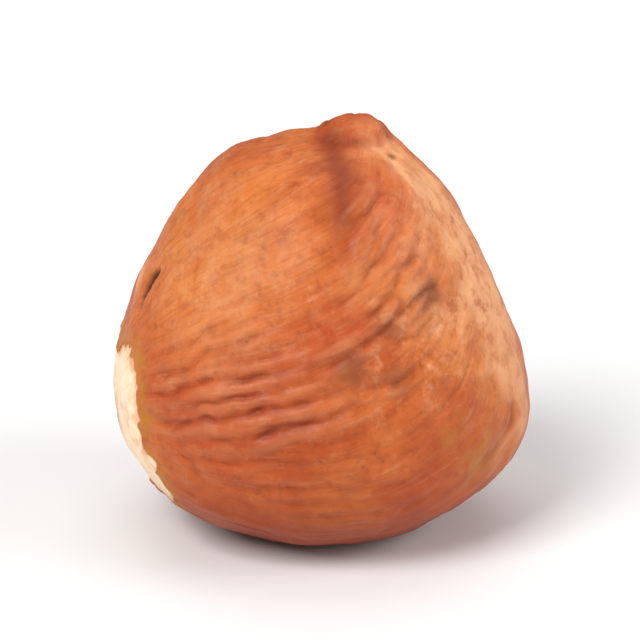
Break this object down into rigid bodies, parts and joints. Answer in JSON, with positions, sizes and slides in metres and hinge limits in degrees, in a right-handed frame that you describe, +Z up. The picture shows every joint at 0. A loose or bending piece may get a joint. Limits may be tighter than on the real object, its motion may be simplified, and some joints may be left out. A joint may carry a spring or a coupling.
{
  "type": "hazelnut",
  "caption": "Whole shelled hazelnut kernel in its brown skin, a rounded teardrop with a small tip, standing upright on a small flat of its base.",
  "frame": {"origin": "on the resting plane, under the middle of the kernel", "axes": "+Z up from the flat of the base towards the tip, -Y the front, +X the side the tip leans to"},
  "size_m": [0.0144, 0.0138, 0.015],
  "materials": {
    "skin": "satin, papery, reddish brown"
  },
  "bodies": {
    "root": {"kernel": "skin"}
  },
  "joints": []
}
